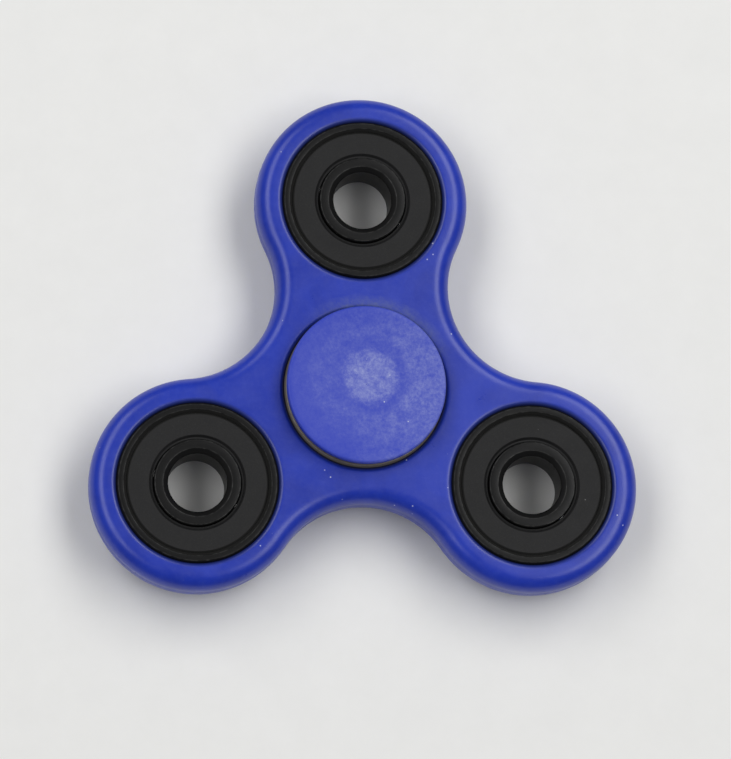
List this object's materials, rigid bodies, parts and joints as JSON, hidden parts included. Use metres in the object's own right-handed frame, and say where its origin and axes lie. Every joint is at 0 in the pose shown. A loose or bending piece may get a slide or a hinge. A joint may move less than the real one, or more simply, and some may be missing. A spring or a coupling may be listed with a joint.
{
  "type": "fidget spinner",
  "caption": "Three-lobed fidget spinner: a moulded body turns on a ball bearing between two finger caps, with a ball bearing pressed in each lobe as a weight.",
  "frame": {"origin": "on the spin axis, half way between the body's two faces; it is the whole object's centre of mass", "axes": "+Z along the spin axis, out of the upper finger cap; +Y from the spin axis to the middle of the top lobe; +X across, along the longest side of the object's box"},
  "size_m": [0.0748, 0.0688, 0.0128],
  "materials": {
    "body_plastic": "satin",
    "cap_plastic": "gloss",
    "black_bearing_steel": "gloss",
    "bare_bearing_steel": "satin",
    "seal_rubber": "matte",
    "ball_steel": "polished",
    "cage_steel": "satin"
  },
  "bodies": {
    "finger_grip": {"upper_finger_cap": "cap_plastic", "lower_finger_cap": "cap_plastic", "centre_bearing_inner_ring": "bare_bearing_steel"},
    "spinner": {"spinner_body": "body_plastic", "centre_bearing_outer_ring": "bare_bearing_steel", "centre_bearing_upper_seal": "seal_rubber", "centre_bearing_lower_seal": "seal_rubber", "top_bearing_outer_ring": "black_bearing_steel", "top_bearing_upper_seal": "seal_rubber", "top_bearing_lower_seal": "seal_rubber", "left_bearing_outer_ring": "black_bearing_steel", "left_bearing_upper_seal": "seal_rubber", "left_bearing_lower_seal": "seal_rubber", "right_bearing_outer_ring": "black_bearing_steel", "right_bearing_upper_seal": "seal_rubber", "right_bearing_lower_seal": "seal_rubber"},
    "centre_ball_train": {"centre_bearing_upper_cage_half": "cage_steel", "centre_bearing_lower_cage_half": "cage_steel", "centre_bearing_ball_1": "ball_steel", "centre_bearing_ball_2": "ball_steel", "centre_bearing_ball_3": "ball_steel", "centre_bearing_ball_4": "ball_steel", "centre_bearing_ball_5": "ball_steel", "centre_bearing_ball_6": "ball_steel", "centre_bearing_ball_7": "ball_steel"},
    "top_ball_train": {"top_bearing_upper_cage_half": "cage_steel", "top_bearing_lower_cage_half": "cage_steel", "top_bearing_ball_1": "ball_steel", "top_bearing_ball_2": "ball_steel", "top_bearing_ball_3": "ball_steel", "top_bearing_ball_4": "ball_steel", "top_bearing_ball_5": "ball_steel", "top_bearing_ball_6": "ball_steel", "top_bearing_ball_7": "ball_steel"},
    "left_ball_train": {"left_bearing_upper_cage_half": "cage_steel", "left_bearing_lower_cage_half": "cage_steel", "left_bearing_ball_1": "ball_steel", "left_bearing_ball_2": "ball_steel", "left_bearing_ball_3": "ball_steel", "left_bearing_ball_4": "ball_steel", "left_bearing_ball_5": "ball_steel", "left_bearing_ball_6": "ball_steel", "left_bearing_ball_7": "ball_steel"},
    "right_ball_train": {"right_bearing_upper_cage_half": "cage_steel", "right_bearing_lower_cage_half": "cage_steel", "right_bearing_ball_1": "ball_steel", "right_bearing_ball_2": "ball_steel", "right_bearing_ball_3": "ball_steel", "right_bearing_ball_4": "ball_steel", "right_bearing_ball_5": "ball_steel", "right_bearing_ball_6": "ball_steel", "right_bearing_ball_7": "ball_steel"},
    "top_inner_ring": {"top_bearing_inner_ring": "black_bearing_steel"},
    "left_inner_ring": {"left_bearing_inner_ring": "black_bearing_steel"},
    "right_inner_ring": {"right_bearing_inner_ring": "black_bearing_steel"}
  },
  "joints": [
    {"name": "body_spin", "type": "hinge", "parent": "finger_grip", "child": "spinner", "pos_m": [0, 0, 0], "axis": [0, 0, 1], "continuous": true},
    {"name": "centre_ball_train_spin", "type": "hinge", "parent": "finger_grip", "child": "centre_ball_train", "pos_m": [0, 0, 0], "axis": [0, 0, 1], "continuous": true},
    {"name": "top_inner_ring_spin", "type": "hinge", "parent": "spinner", "child": "top_inner_ring", "pos_m": [0, 0.02635, 0], "axis": [0, 0, 1], "continuous": true},
    {"name": "top_ball_train_spin", "type": "hinge", "parent": "spinner", "child": "top_ball_train", "pos_m": [0, 0.02635, 0], "axis": [0, 0, 1], "continuous": true},
    {"name": "left_inner_ring_spin", "type": "hinge", "parent": "spinner", "child": "left_inner_ring", "pos_m": [-0.02282, -0.01317, 0], "axis": [0, 0, 1], "continuous": true},
    {"name": "left_ball_train_spin", "type": "hinge", "parent": "spinner", "child": "left_ball_train", "pos_m": [-0.02282, -0.01317, 0], "axis": [0, 0, 1], "continuous": true},
    {"name": "right_inner_ring_spin", "type": "hinge", "parent": "spinner", "child": "right_inner_ring", "pos_m": [0.02282, -0.01317, 0], "axis": [0, 0, 1], "continuous": true},
    {"name": "right_ball_train_spin", "type": "hinge", "parent": "spinner", "child": "right_ball_train", "pos_m": [0.02282, -0.01317, 0], "axis": [0, 0, 1], "continuous": true}
  ],
  "couplings": [
    {"joint": "centre_ball_train_spin", "follows": "body_spin", "ratio": 0.63227},
    {"joint": "top_ball_train_spin", "follows": "top_inner_ring_spin", "ratio": 0.36773},
    {"joint": "left_ball_train_spin", "follows": "left_inner_ring_spin", "ratio": 0.36773},
    {"joint": "right_ball_train_spin", "follows": "right_inner_ring_spin", "ratio": 0.36773}
  ]
}
